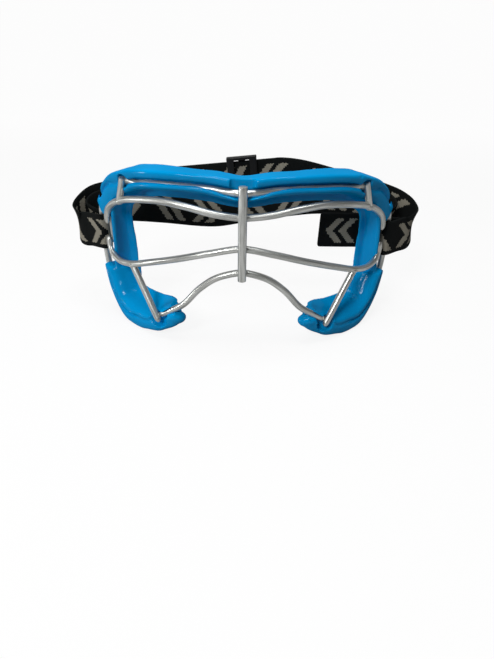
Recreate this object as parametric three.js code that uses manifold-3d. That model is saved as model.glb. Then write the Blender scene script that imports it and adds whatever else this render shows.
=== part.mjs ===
// Wire lacrosse goggles: a welded cage of bent wires, a soft moulded gasket that grips the
// outer wire, and an elastic strap with a slide. Millimetres, +Z up, the face looks along -Y,
// +X is the right of the picture, and the cheeks of the gasket stand on z = 0.
import * as THREE from 'three';
import { mergeVertices } from 'three/addons/utils/BufferGeometryUtils.js';
import Module from 'manifold-3d';

const wasm = await Module();
wasm.setup();

// The sizes of the cage. Routes below are shares of the first three.
const faceHalfWidth = 90;
const faceHeight = 110;
const wrapDepth = 44;
const wrapPower = 2.75;
const wireRadius = 2.05;
const barRadius = 2.5;
const postRadius = 2;
const strutRadius = 2.1;
const templeBarRadius = 1.2;
const barTopOver = 4.72;
const barBottomUnder = 2.98;
const pressedHalfWidth = 2.9;
const pressedHalfThickness = 1.4;
const pressedLength = 15;

// Clearances and the overrun of every cut
const touchGap = 0.3;
const overrun = 4;

// The sizes of the gasket
const lipFront = 3.3;
const lipRound = 1.5;
const grooveHalfWidth = 0.95;
const browOuterLip = 8.4;
const browInnerLip = 6.4;
const browDepth = 11;
const browFlange = 4.6;
const browFlangeThickness = 2.4;
const browTopRise = 1.6;
const wallThickness = 3;
const rimReach = 4.6;
const rimThickness = 2;
const cheekOuterLip = 7.6;
const cheekDepth = 8;
const cheekBulge = 3.6;
const cheekBack = 2.6;
const centreRecessRadius = 7.3;
const centreRecessDepth = 1.4;
const centreNotchHalfWidth = 5.5;
const postNotchRadius = 4.4;
const postClearance = 1;
const standCut = 0.6;
const pocketHalfWidth = 8;
const pocketHalfHeight = 5;
const pocketDepth = 4.5;

// The sizes of the strap and its slide
const strapWidth = 24;
const strapThickness = 1.6;
const strapLoopReach = 24.6;
const strapBackReach = 34.32;
const strapMidHeight = 76;
const hemLength = 12.5;
const hemSlopeShare = 0.2;
const slideLength = 21;
const slideRail = 2;
const slideBarWidth = 5;
const slideBarThickness = 1.6;
const slideSideClearance = 0.8;
const slideFaceClearance = 0.4;
const turnClearance = 0.9;

// The finishes
const paintedWire = new THREE.MeshStandardMaterial({ color: 0xb9bdb7, roughness: 0.35, metalness: 0.7 });
const gasketBlue = new THREE.MeshStandardMaterial({ color: 0x0b8fdc, roughness: 0.25, metalness: 0 });
const strapBlack = new THREE.MeshStandardMaterial({ color: 0x111312, roughness: 0.9, metalness: 0 });
const slideBlack = new THREE.MeshStandardMaterial({ color: 0x0b0c0c, roughness: 0.4, metalness: 0 });

// Steps and sides of the round pieces, and the number of places that the brow takes of its route
const wireSides = 10;
const wireSteps = 54;
const perimeterSteps = 84;
const browPlaceCount = 9;
const browSteps = 48;
const cheekSteps = 22;
const wallSteps = 16;
const ballSides = 16;
const ballRows = 10;
const recessSides = 20;
const bandStepsPerPlace = 4;

// Places: x is a share of the face's half width, y of the wrap depth and z of the face height.
// Routes with two values lie on the wrap, so their depth follows from x.
const upperEyeShares = [
  [0, 0.772], [0.175, 0.786], [0.35, 0.815], [0.51, 0.829], [0.655, 0.817], [0.834, 0.775],
  [0.935, 0.717], [0.99, 0.65], [1, 0.588],
];
const middleShares = [
  [0, 0.603], [0.205, 0.574], [0.41, 0.528], [0.64, 0.465], [0.78, 0.418], [0.893, 0.394],
  [0.97, 0.41], [1, 0.45], [1, 0.513],
];
const noseArchShares = [
  [0, 0.468], [0.105, 0.452], [0.188, 0.424], [0.29, 0.358], [0.402, 0.252], [0.507, 0.19], [0.585, 0.147],
];
const perimeterShares = [
  [0, 0, 0.898], [0.19, 0.06, 0.925], [0.35, 0.115, 0.937], [0.53, 0.21, 0.938], [0.68, 0.4, 0.92],
  [0.78, 0.58, 0.885], [0.9, 0.85, 0.82], [0.985, 1.04, 0.745], [1.046, 1.19, 0.675], [1.06, 1.22, 0.6],
  [1.06, 1.22, 0.5], [1.06, 1.22, 0.4], [1.045, 1.17, 0.3], [1, 1.02, 0.18], [0.94, 0.86, 0.105],
  [0.86, 0.66, 0.068], [0.74, 0.44, 0.075], [0.655, 0.3, 0.108],
];
const cheekGrooveShares = [
  [1.045, 1.16, 0.29], [1, 1.02, 0.18], [0.94, 0.86, 0.105], [0.86, 0.66, 0.068], [0.74, 0.44, 0.075],
  [0.64, 0.28, 0.115], [0.55, 0.19, 0.16], [0.47, 0.13, 0.21],
];
const postTopShare = [0.79, 0.52, 0.905];
const postFootShare = [0.838, 0.61, 0.772];
const strutTopShare = [0.78, 0.5, 0.412];
const strutFootShare = [0.6, 0.17, 0.133];
const templeBarShares = [0.635, 0.475];

// The wall of the gasket from each end of the brow to the nose: front edge, then face edge. It
// shows down the temple, and from the cheek on only its rim does, at the top of the cheek's pad.
const wallFrontShares = [
  [0.89, 0.8, 0.775], [0.93, 0.885, 0.69], [0.945, 0.93, 0.6], [0.95, 0.945, 0.51], [0.955, 0.955, 0.42],
  [0.965, 0.97, 0.33], [0.96, 0.93, 0.24], [0.92, 0.82, 0.165], [0.845, 0.64, 0.125], [0.735, 0.44, 0.14],
  [0.62, 0.3, 0.18], [0.52, 0.2, 0.225],
];
const wallFaceShares = [
  [0.8, 0.955, 0.72], [0.84, 1.055, 0.645], [0.86, 1.135, 0.565], [0.86, 1.16, 0.465], [0.855, 1.15, 0.38],
  [0.845, 1.115, 0.31], [0.83, 1.045, 0.25], [0.795, 0.945, 0.2], [0.72, 0.82, 0.182], [0.61, 0.64, 0.186],
  [0.53, 0.5, 0.205], [0.48, 0.36, 0.22],
];

// How the lips of the brow and the cheeks swell along their grooves: place, then share of the size
const browOuterShares = [[0, 1], [0.27, 0.72], [0.5, 0.66], [0.72, 0.85], [0.86, 0.75], [1, 0.3]];
const browInnerShares = [[0, 0.75], [0.14, 0.85], [0.45, 1], [0.72, 1.15], [0.88, 1.05], [1, 0.6]];
const browRiseShares = [[0, 0], [0.23, 0.1], [0.5, 1], [0.68, 1], [0.9, 0], [1, 0]];
const browGrooveShares = [[0, 3.2], [0.13, 1.9], [0.27, 1.1], [1, 1]];
const cheekOuterShares = [[0, 0.55], [0.2, 0.75], [0.5, 1], [0.85, 1], [0.95, 0.8], [1, 0.45]];
const rimReachShares = [[0, 0.3], [0.12, 0.8], [0.3, 1], [0.5, 1], [0.7, 0.5], [1, 0.1]];

// How the rim leans back, where the wall ends inside the cheek's pad, where the pad begins on the
// wall's rim, and the places between groove and rim that shape the pad
const rimLeanShare = 0.37;
const wallEndShare = 0.62;
const padStartShare = 0.455;
const padSurfaceShares = [[0.3, 0.84], [0.68, 0.87]];
const padBackShare = 0.5;

// The wall's section as a flat outline: along it, then through it, in shares of its own corners
const wallOutlineShares = [[0, 1], [0.9, 1], [1, 3], [1.2, 3], [1.1, 0], [1, -1], [0, -1], [-0.1, 0]];

// The strap's route. x is a share of its half span, from the middle to the outside of its loops,
// y of its reach behind the outer wire at the temples, and z of its middle height.
const outerStrapShares = [
  [0.31, 0.991, 1.14], [0.57, 0.962, 1.045], [0.7, 0.92, 1], [0.79, 0.842, 0.965],
  [0.875, 0.718, 0.925], [0.933, 0.545, 0.875], [0.957, 0.35, 0.815], [0.93, 0.179, 0.762],
  [0.877, 0.077, 0.75],
];
const leftLoopShares = [
  [0.6, 0.982, 0.988], [0.71, 0.945, 0.953], [0.815, 0.872, 0.92], [0.89, 0.769, 0.893],
  [0.94, 0.59, 0.843], [0.966, 0.385, 0.778], [0.942, 0.192, 0.727], [0.882, 0.077, 0.735],
];
const slideRunShares = [[-0.5, 1, 1.036], [0.2, 1, 1.154]];
const slideRunStepShares = [0, 0.05, 0.5, 0.95, 1];
const slidePlaceShare = 0.688;
const turnHeightShare = 0.745;

// The turn round the outer wire, in degrees seen from above, from outside to inside, and the
// row of the outer wire's route that it goes round
const turnAngles = [-50, -90, -135, -180, -225];
const turnIndex = 9;
const innerLeftShares = [
  [0.8, 0.141, 0.747], [0.865, 0.256, 0.765], [0.892, 0.423, 0.805], [0.865, 0.59, 0.85],
  [0.78, 0.705, 0.876],
];
const innerBackShares = [
  [-0.68, 0.731, 0.878], [-0.5, 0.731, 0.868], [-0.19, 0.731, 0.842], [-0.04, 0.731, 0.882],
  [0.275, 0.731, 0.966], [0.42, 0.731, 0.99], [0.6, 0.723, 0.985], [0.74, 0.654, 0.945],
  [0.815, 0.513, 0.9], [0.835, 0.359, 0.855], [0.8, 0.231, 0.81], [0.72, 0.141, 0.782],
  [0.6, 0.103, 0.78], [0.42, 0.051, 0.785],
];

// A depth on the wrap of the face
function wrapAt(x) {
  return wrapDepth * (Math.abs(x) / faceHalfWidth) ** wrapPower;
}

// The horizontal direction that looks out of the wrap at x
function frontAt(x) {
  const share = (Math.abs(x) / faceHalfWidth) ** (wrapPower - 1);
  const slope = (wrapPower * wrapDepth / faceHalfWidth) * share;
  return new THREE.Vector3(slope * Math.sign(x), -1, 0).normalize();
}

function place(share) {
  const x = share[0] * faceHalfWidth;
  const onWrap = share.length === 2;
  const y = onWrap ? wrapAt(x) : share[1] * wrapDepth;
  return new THREE.Vector3(x, y, share[onWrap ? 1 : 2] * faceHeight);
}

function mirrored(point) {
  return new THREE.Vector3(-point.x, point.y, point.z);
}

function curveThrough(points) {
  return new THREE.CatmullRomCurve3(points, false, 'centripetal');
}

// A route from the left end over the middle to the right end
function fullRoute(halfShares) {
  const right = halfShares.map(place);
  const left = right.slice(1).map(mirrored).reverse();
  return curveThrough([...left, ...right]);
}

// The value at a place in a table of [place, value] pairs, with soft steps between them
function tableAt(table, spot) {
  let row = 0;
  while (row < table.length - 2 && spot > table[row + 1][0]) {
    row += 1;
  }
  const [from, to] = [table[row], table[row + 1]];
  const share = THREE.MathUtils.smoothstep(spot, from[0], to[0]);
  return THREE.MathUtils.lerp(from[1], to[1], share);
}

// A closed solid through rings of equal length. The flat outline triangulates both end caps.
function loft(rings, outline) {
  const sides = rings[0].length;
  const position = rings.flat().flatMap((point) => [point.x, point.y, point.z]);
  const index = [];
  for (let ring = 0; ring < rings.length - 1; ring += 1) {
    for (let side = 0; side < sides; side += 1) {
      const here = ring * sides + side;
      const next = ring * sides + (side + 1) % sides;
      index.push(here, next, next + sides, here, next + sides, here + sides);
    }
  }
  const caps = THREE.ShapeUtils.triangulateShape(outline, []);
  const last = (rings.length - 1) * sides;
  const clockwise = THREE.ShapeUtils.isClockWise(outline);
  for (const cap of caps) {
    const [a, b, c] = clockwise ? cap.slice().reverse() : cap;
    index.push(c, b, a, last + a, last + b, last + c);
  }
  const geometry = new THREE.BufferGeometry();
  geometry.setAttribute('position', new THREE.Float32BufferAttribute(position, 3));
  geometry.setIndex(index);
  return solidOf(geometry);
}

// Six times the volume that a triangle list encloses, negative when it is inside out
function signedVolume(points, index) {
  let sum = 0;
  const corner = [new THREE.Vector3(), new THREE.Vector3(), new THREE.Vector3()];
  for (let first = 0; first < index.length; first += 3) {
    corner.forEach((vector, step) => vector.fromArray(points, index[first + step] * 3));
    sum += corner[0].dot(corner[1].clone().cross(corner[2]));
  }
  return sum;
}

function solidOf(geometry) {
  geometry.deleteAttribute('normal');
  geometry.deleteAttribute('uv');
  const merged = mergeVertices(geometry);
  const points = merged.attributes.position.array;
  const index = Array.from(merged.index.array);
  if (signedVolume(points, index) < 0) {
    index.reverse();
  }
  const mesh = new wasm.Mesh({
    numProp: 3,
    vertProperties: new Float32Array(points),
    triVerts: new Uint32Array(index),
  });
  return new wasm.Manifold(mesh);
}

function meshOf(name, solid, material) {
  const cut = solid.getMesh();
  const geometry = new THREE.BufferGeometry();
  geometry.setAttribute('position', new THREE.BufferAttribute(new Float32Array(cut.vertProperties), 3));
  geometry.setIndex(Array.from(cut.triVerts));
  geometry.computeVertexNormals();
  const mesh = new THREE.Mesh(geometry, material);
  mesh.name = name;
  return mesh;
}

// The local directions at a place on a route: along it, out of the wrap, and away from the face
function frameOn(route, share) {
  const point = route.getPointAt(share);
  const along = route.getTangentAt(share);
  const front = frontAt(point.x);
  front.addScaledVector(along, -front.dot(along)).normalize();
  const out = front.clone().cross(along).normalize();
  return { point, along, front, out };
}

function inFrame(frame, out, front) {
  return frame.point.clone().addScaledVector(frame.out, out).addScaledVector(frame.front, front);
}

// A round wire whose section can widen and flatten: widthAt gives its two half sizes at a share
function wireSolid(route, steps, sizeAt) {
  const rings = [];
  const circle = [];
  for (let side = 0; side < wireSides; side += 1) {
    const turn = (side / wireSides) * Math.PI * 2;
    circle.push(new THREE.Vector2(Math.cos(turn), Math.sin(turn)));
  }
  for (let step = 0; step <= steps; step += 1) {
    const frame = frameOn(route, step / steps);
    const [wide, thick] = sizeAt(step / steps);
    rings.push(circle.map((spot) => inFrame(frame, spot.x * wide, spot.y * thick)));
  }
  return loft(rings, circle);
}

function roundWire(route, radius, steps) {
  return wireSolid(route, steps, () => [radius, radius]);
}

// The ends of an eye wire are pressed flat where they lie on the temple bar
function pressedWire(route, grow) {
  const length = route.getLength();
  return wireSolid(route, wireSteps, (share) => {
    const toEnd = Math.min(share, 1 - share) * length;
    const press = 1 - THREE.MathUtils.smoothstep(toEnd, pressedLength / 2, pressedLength);
    return [
      THREE.MathUtils.lerp(wireRadius, pressedHalfWidth, press) + grow,
      THREE.MathUtils.lerp(wireRadius, pressedHalfThickness, press) + grow,
    ];
  });
}

// A straight round bar between two points
function barSolid(from, to, radius) {
  const length = from.distanceTo(to);
  const geometry = new THREE.CylinderGeometry(radius, radius, length, wireSides + 2);
  const up = new THREE.Vector3(0, 1, 0);
  const turn = new THREE.Quaternion().setFromUnitVectors(up, to.clone().sub(from).normalize());
  geometry.applyQuaternion(turn);
  const middle = from.clone().add(to).divideScalar(2);
  geometry.translate(middle.x, middle.y, middle.z);
  return solidOf(geometry);
}

// The routes of the wall and of the cage
const wallFrontRoute = curveThrough(wallFrontShares.map(place));
const wallFaceRoute = curveThrough(wallFaceShares.map(place));
const upperEyeRoute = fullRoute(upperEyeShares);
const middleRoute = fullRoute(middleShares);
const noseArchRoute = fullRoute(noseArchShares);
const perimeterRoute = fullRoute(perimeterShares);

const upperEyeWire = pressedWire(upperEyeRoute, 0);
const middleWire = pressedWire(middleRoute, 0);
const noseArchWire = roundWire(noseArchRoute, wireRadius, wireSteps);
const perimeterWire = roundWire(perimeterRoute, wireRadius, perimeterSteps);
const upperEyeRoom = pressedWire(upperEyeRoute, touchGap);
const middleRoom = pressedWire(middleRoute, touchGap);
const noseArchRoom = roundWire(noseArchRoute, wireRadius + touchGap, wireSteps);
const perimeterRoom = roundWire(perimeterRoute, wireRadius + touchGap, perimeterSteps);

// The centre bar stands in front of the wires that cross it
const barForward = -(wireRadius + barRadius + touchGap);
const barBottom = place(noseArchShares[0]).z - barBottomUnder;
const barTop = place(perimeterShares[0]).z + barTopOver;
const barEnds = [new THREE.Vector3(0, barForward, barBottom), new THREE.Vector3(0, barForward, barTop)];
const centreBar = barSolid(...barEnds, barRadius);

// A short wire on one side of the cage, cut back from the wires that it is welded to
function sideBar(side, fromShare, toShare, radius, rooms) {
  const ends = [place(fromShare), place(toShare)].map((point) => (side < 0 ? mirrored(point) : point));
  let solid = barSolid(...ends, radius);
  for (const room of rooms) {
    solid = solid.subtract(room);
  }
  return largestPiece(solid);
}

// A cut can leave a sliver behind the wire that made it; the bar itself is the largest piece
function largestPiece(solid) {
  const pieces = solid.decompose();
  return pieces.reduce((best, piece) => (piece.volume() > best.volume() ? piece : best));
}

function cornerPost(side) {
  return sideBar(side, postTopShare, postFootShare, postRadius, [perimeterRoom, upperEyeRoom]);
}

function cheekStrut(side) {
  const rooms = [middleRoom, noseArchRoom, perimeterRoom];
  return sideBar(side, strutTopShare, strutFootShare, strutRadius, rooms);
}

// The temple bar stands behind the pressed ends of the two eye wires and joins them
function templeBar(side, grow) {
  const back = frontAt(faceHalfWidth).multiplyScalar(-(pressedHalfThickness + templeBarRadius + touchGap));
  const ends = templeBarShares.map((height) => {
    const end = place([1, height]).add(back);
    return side < 0 ? mirrored(end) : end;
  });
  return barSolid(...ends, templeBarRadius + grow);
}

// The brow of the gasket: two lips with the groove between them, a top and a face flange
function browSolid() {
  const route = fullRoute(perimeterShares.slice(0, browPlaceCount));
  const rings = [];
  let outline = [];
  for (let step = 0; step <= browSteps; step += 1) {
    const share = step / browSteps;
    const spot = Math.abs(share * 2 - 1);
    const frame = frameOn(route, share);
    outline = browOutline(spot);
    rings.push(outline.map((point) => inFrame(frame, point.x, point.y)));
  }
  return loft(rings, outline);
}

function browOutline(spot) {
  const outer = browOuterLip * tableAt(browOuterShares, spot);
  const inner = browInnerLip * tableAt(browInnerShares, spot);
  const rise = browTopRise * tableAt(browRiseShares, spot);
  const groove = grooveHalfWidth * tableAt(browGrooveShares, spot);
  const flangeTip = -inner - browFlange;
  const flangeFront = -browDepth + browFlangeThickness;
  return [
    [groove, lipFront],
    [outer - lipRound, lipFront],
    [outer, lipFront - lipRound],
    [outer + rise, -browDepth + lipRound],
    [outer + rise - lipRound, -browDepth],
    [flangeTip + lipRound / 2, -browDepth],
    [flangeTip, -browDepth + lipRound / 2],
    [flangeTip, flangeFront],
    [-inner + lipRound / 2, flangeFront + lipRound / 2],
    [-inner, -lipRound],
    [-inner, lipFront - lipRound],
    [-inner + lipRound, lipFront],
    [-groove, lipFront],
    [-groove, 0],
    [groove, 0],
  ].map(([out, front]) => new THREE.Vector2(out, front));
}

// The wall at a share of its run, with the rim that turns from its face edge towards the eyes
function wallFrame(share) {
  const front = wallFrontRoute.getPoint(share);
  const face = wallFaceRoute.getPoint(share);
  const across = face.clone().sub(front).normalize();
  const inward = across.clone().cross(wallFrontRoute.getTangent(share)).normalize();
  const rimWay = across.clone().multiplyScalar(rimLeanShare).add(inward).normalize();
  const rimBack = across.clone().addScaledVector(inward, -rimLeanShare).normalize();
  const rim = face.clone().addScaledVector(rimWay, rimReach * tableAt(rimReachShares, share));
  return { front, face, across, inward, rimBack, rim };
}

// The thin wall down the temple, with its rim, as far as the inside of the cheek's pad
function wallSolid(side) {
  const half = wallThickness / 2;
  const thin = rimThickness / 2;
  const rings = [];
  for (let step = 0; step <= wallSteps; step += 1) {
    const { front, face, across, inward, rimBack, rim } = wallFrame(wallEndShare * step / wallSteps);
    const ring = [
      front.clone().addScaledVector(inward, half),
      face.clone().addScaledVector(inward, half).addScaledVector(across, -half),
      rim.clone().addScaledVector(rimBack, -thin),
      rim.clone().addScaledVector(rimBack, thin),
      face.clone().addScaledVector(across, half),
      face.clone().addScaledVector(inward, -half),
      front.clone().addScaledVector(inward, -half),
      front.clone().addScaledVector(across, -half),
    ];
    rings.push(side < 0 ? ring.map(mirrored) : ring);
  }
  return loft(rings, wallOutlineShares.map(([x, y]) => new THREE.Vector2(x, y)));
}

// A cheek's pad: the outer lip, the groove, and a broad surface from the groove to the rim
function cheekSolid(side) {
  const route = curveThrough(cheekGrooveShares.map(place));
  const rings = [];
  let outline = [];
  for (let step = 0; step <= cheekSteps; step += 1) {
    const share = step / cheekSteps;
    const frame = frameOn(route, share);
    const { rim, rimBack } = wallFrame(THREE.MathUtils.lerp(padStartShare, 1, share));
    const outer = cheekOuterLip * tableAt(cheekOuterShares, share);
    const grooveEdge = inFrame(frame, -grooveHalfWidth, lipFront);
    const back = inFrame(frame, -lipRound, -cheekDepth);
    const rimUnder = rim.clone().addScaledVector(rimBack, cheekBack);
    const surface = padSurfaceShares.map(([spot, swell]) => {
      return grooveEdge.clone().lerp(rim, spot).addScaledVector(frame.front, cheekBulge * swell);
    });
    const ring = [
      inFrame(frame, grooveHalfWidth, lipFront),
      inFrame(frame, outer - lipRound, lipFront - lipRound / 2),
      inFrame(frame, outer, lipFront - lipRound * 2),
      inFrame(frame, outer - lipRound, -cheekDepth / 2),
      inFrame(frame, lipRound, -cheekDepth),
      back,
      back.clone().lerp(rimUnder, padBackShare),
      rimUnder,
      rim,
      ...surface.reverse(),
      grooveEdge,
      inFrame(frame, -grooveHalfWidth, 0),
      inFrame(frame, grooveHalfWidth, 0),
    ];
    outline = ring.map((point) => {
      const away = point.clone().sub(frame.point);
      return new THREE.Vector2(away.dot(frame.out), away.dot(frame.front));
    });
    rings.push(side < 0 ? ring.map(mirrored) : ring);
  }
  return loft(rings, outline);
}

// A ball, scaled along the axes
function ballSolid(centre, halfX, halfY, halfZ) {
  const geometry = new THREE.SphereGeometry(1, ballSides, ballRows);
  geometry.scale(halfX, halfY, halfZ);
  geometry.translate(centre.x, centre.y, centre.z);
  return solidOf(geometry);
}

// A flat outline in x and z, cut along y from one depth to another
function plateSolid(outline, from, to) {
  const shape = new THREE.Shape(outline);
  const geometry = new THREE.ExtrudeGeometry(shape, { depth: to - from, bevelEnabled: false });
  geometry.rotateX(Math.PI / 2);
  geometry.translate(0, to, 0);
  return solidOf(geometry);
}

// The recess in the upper lip and the notch in the lower lip behind the centre bar
function centreCuts() {
  const groove = place(perimeterShares[0]);
  const lipFace = groove.y - lipFront;
  const recess = new THREE.CylinderGeometry(centreRecessRadius, centreRecessRadius, overrun, recessSides);
  recess.translate(0, lipFace + centreRecessDepth - overrun / 2, groove.z + browOuterLip / 2);
  const notch = plateSolid([
    new THREE.Vector2(-centreNotchHalfWidth, groove.z),
    new THREE.Vector2(-barRadius, groove.z - browInnerLip),
    new THREE.Vector2(barRadius, groove.z - browInnerLip),
    new THREE.Vector2(centreNotchHalfWidth, groove.z),
  ], lipFace - overrun, groove.y + wireRadius);
  return [solidOf(recess), notch];
}

function faceGasket() {
  let solid = browSolid();
  for (const side of [-1, 1]) {
    solid = solid.add(wallSolid(side)).add(cheekSolid(side));
  }
  for (const side of [-1, 1]) {
    const turn = (point) => (side < 0 ? mirrored(point) : point);
    const postEnds = [place(postTopShare), place(postFootShare)].map(turn);
    solid = solid.subtract(barSolid(...postEnds, postRadius + postClearance));
    solid = solid.subtract(ballSolid(postEnds[0], postNotchRadius, postNotchRadius, postNotchRadius));
    const pocket = turn(place(strutFootShare));
    solid = solid.subtract(ballSolid(pocket, pocketHalfWidth, pocketDepth, pocketHalfHeight));
    const strutEnds = [place(strutTopShare), place(strutFootShare)].map(turn);
    solid = solid.subtract(barSolid(...strutEnds, strutRadius + touchGap));
    solid = solid.subtract(templeBar(side, touchGap));
  }
  const rooms = [perimeterRoom, upperEyeRoom, middleRoom, noseArchRoom, ...centreCuts()];
  for (const room of rooms) {
    solid = solid.subtract(room);
  }
  const floor = new THREE.BoxGeometry(faceHalfWidth * 3, wrapDepth * 4, faceHeight);
  floor.translate(0, wrapDepth, standCut - faceHeight / 2);
  return largestPiece(solid.subtract(solidOf(floor)));
}

// A flat band along points, standing on edge, with its width square to its run. Each stretch
// between two points has the same number of steps, so tight bends are as smooth as wide ones.
function bandSolid(points) {
  const route = curveThrough(points);
  const steps = (points.length - 1) * bandStepsPerPlace;
  const rings = [];
  const halfWidth = strapWidth / 2;
  const halfThickness = strapThickness / 2;
  for (let step = 0; step <= steps; step += 1) {
    const point = route.getPoint(step / steps);
    const along = route.getTangent(step / steps);
    const aside = new THREE.Vector3(along.y, -along.x, 0).normalize();
    const rise = aside.clone().cross(along).normalize();
    rings.push([[1, 1], [1, -1], [-1, -1], [-1, 1]].map(([up, side]) => point.clone()
      .addScaledVector(rise, up * halfWidth)
      .addScaledVector(aside, side * halfThickness)));
  }
  const outline = [[1, 1], [1, -1], [-1, -1], [-1, 1]];
  return loft(rings, outline.map(([x, y]) => new THREE.Vector2(x, y)));
}

const strapWire = place(perimeterShares[turnIndex]);
const strapBack = strapWire.y + strapBackReach;

function strapPlace(share) {
  const x = share[0] * (strapWire.x + strapLoopReach);
  const y = strapWire.y + share[1] * strapBackReach;
  return new THREE.Vector3(x, y, share[2] * strapMidHeight);
}

// The straight stretch that the slide travels on, from its right end to its left
function slideRun() {
  const [left, right] = slideRunShares.map(strapPlace);
  return slideRunStepShares.map((share) => right.clone().lerp(left, share));
}

// The turn of the band round the outer wire at a temple, seen from above, from outside to inside
function templeTurn(side) {
  const radius = wireRadius + turnClearance + strapThickness / 2;
  return turnAngles.map((angle) => {
    const x = strapWire.x + radius * Math.cos(THREE.MathUtils.degToRad(angle));
    const y = strapWire.y + radius * Math.sin(THREE.MathUtils.degToRad(angle));
    return new THREE.Vector3(side * x, y, turnHeightShare * strapMidHeight);
  });
}

// The outer layer runs from its hem at the right temple round the back to the left temple
function outerStrap() {
  const rightTurn = templeTurn(1);
  const inside = rightTurn[rightTurn.length - 1];
  const hemEnd = inside.clone().add(new THREE.Vector3(hemLength, hemLength * hemSlopeShare, 0));
  const points = [
    hemEnd,
    ...rightTurn.reverse(),
    ...outerStrapShares.map(strapPlace).reverse(),
    ...slideRun(),
    ...leftLoopShares.map(strapPlace).map(mirrored),
    ...templeTurn(-1),
  ];
  return bandSolid(points);
}

// The inner layer goes on from the left temple along the back to the free end at the right
function innerStrap() {
  const leftTurn = templeTurn(-1);
  const start = leftTurn[leftTurn.length - 1];
  start.add(new THREE.Vector3(-turnClearance, turnClearance, 0));
  const points = [
    start,
    ...innerLeftShares.map(strapPlace).map(mirrored),
    ...innerBackShares.map(strapPlace),
  ];
  return bandSolid(points);
}

const slideHalfDepth = strapThickness / 2 + slideFaceClearance + slideBarThickness;

// The slide: two end bars before the band, one middle bar behind it, and a rail above and below
function slideSolid() {
  const run = slideRunShares.map(strapPlace);
  const along = run[1].clone().sub(run[0]).normalize();
  const halfLength = slideLength / 2;
  const inside = strapWidth / 2 + slideSideClearance;
  const outside = inside + slideRail;
  const face = strapThickness / 2 + slideFaceClearance;
  const block = (fromX, toX, fromY, toY, fromZ, toZ) => {
    const geometry = new THREE.BoxGeometry(toX - fromX, toY - fromY, toZ - fromZ);
    geometry.translate((fromX + toX) / 2, (fromY + toY) / 2, (fromZ + toZ) / 2);
    return solidOf(geometry);
  };
  const thick = slideHalfDepth;
  let solid = block(-halfLength, halfLength, -thick, thick, inside, outside);
  solid = solid.add(block(-halfLength, halfLength, -thick, thick, -outside, -inside));
  const half = slideBarWidth / 2;
  solid = solid.add(block(-halfLength, -halfLength + slideBarWidth, -thick, -face, -outside, outside));
  solid = solid.add(block(halfLength - slideBarWidth, halfLength, -thick, -face, -outside, outside));
  solid = solid.add(block(-half, half, face, thick, -outside, outside));
  const tilt = Math.atan2(along.z, along.x);
  const middle = run[0].clone().lerp(run[1], slidePlaceShare);
  const matrix = new THREE.Matrix4().makeRotationY(-tilt).setPosition(middle);
  return solid.transform(matrix.elements);
}

const goggles = new THREE.Group();
goggles.name = 'lacrosse_goggles';

const cage = new THREE.Group();
cage.add(meshOf('perimeter_wire', perimeterWire, paintedWire));
cage.add(meshOf('upper_eye_wire', upperEyeWire, paintedWire));
cage.add(meshOf('middle_wire', middleWire, paintedWire));
cage.add(meshOf('nose_arch_wire', noseArchWire, paintedWire));
cage.add(meshOf('centre_bar', centreBar, paintedWire));
for (const [side, word] of [[-1, 'left'], [1, 'right']]) {
  cage.add(meshOf(`${word}_corner_post`, cornerPost(side), paintedWire));
  cage.add(meshOf(`${word}_cheek_strut`, cheekStrut(side), paintedWire));
  cage.add(meshOf(`${word}_temple_bar`, templeBar(side, 0), paintedWire));
}

const soft = new THREE.Group();
soft.add(meshOf('face_gasket', faceGasket(), gasketBlue));
soft.add(meshOf('strap_outer_layer', outerStrap(), strapBlack));
soft.add(meshOf('strap_inner_layer', innerStrap(), strapBlack));
soft.add(meshOf('strap_slide', slideSolid(), slideBlack));

// The origin is under the middle of the whole, from the centre bar to the back of the slide
goggles.position.y = -(barForward - barRadius + strapBack + slideHalfDepth) / 2;
goggles.position.z = -standCut;
goggles.add(cage, soft);

export default goggles;
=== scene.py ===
import math
import bmesh
import bpy
import numpy as np
from mathutils import Matrix, Vector


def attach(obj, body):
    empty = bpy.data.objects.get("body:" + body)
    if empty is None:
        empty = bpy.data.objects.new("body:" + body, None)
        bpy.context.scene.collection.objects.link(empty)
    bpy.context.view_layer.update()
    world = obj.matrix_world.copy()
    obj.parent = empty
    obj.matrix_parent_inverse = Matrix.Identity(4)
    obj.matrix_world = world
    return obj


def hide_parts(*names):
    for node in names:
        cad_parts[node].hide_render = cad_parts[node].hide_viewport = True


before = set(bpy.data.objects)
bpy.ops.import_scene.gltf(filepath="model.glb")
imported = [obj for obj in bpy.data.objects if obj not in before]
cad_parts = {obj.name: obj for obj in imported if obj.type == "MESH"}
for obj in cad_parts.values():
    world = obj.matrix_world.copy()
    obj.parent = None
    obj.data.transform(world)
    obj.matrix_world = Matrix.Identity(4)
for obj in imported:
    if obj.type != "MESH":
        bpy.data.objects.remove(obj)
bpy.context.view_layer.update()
scene = bpy.context.scene

# Lengths are in millimetres until a mesh is made. x is a share of the face's half width, y of
# the wrap's depth and z of the face's height. A place with two shares lies on the wrap.
face = {
    "halfWidth": 90.0,
    "height": 110.0,
    "wrapDepth": 44.0,
    "wrapPower": 2.75,
    "shift": (0.0, -41.725, -0.6),  # from the routes' origin to the part's
}


def unit(vector):
    return vector / max(float(np.linalg.norm(vector)), 1e-9)


def wrapAt(x):
    return face["wrapDepth"] * (abs(x) / face["halfWidth"]) ** face["wrapPower"]


def frontAt(x):  # the level direction that looks out of the wrap
    slope = face["wrapPower"] * face["wrapDepth"] / face["halfWidth"]
    slope *= (abs(x) / face["halfWidth"]) ** (face["wrapPower"] - 1)
    return unit(np.array([slope * np.sign(x), -1.0, 0.0]))


def place(share):
    x = share[0] * face["halfWidth"]
    y = wrapAt(x) if len(share) == 2 else share[1] * face["wrapDepth"]
    return np.array([x, y, share[-1] * face["height"]])


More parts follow.
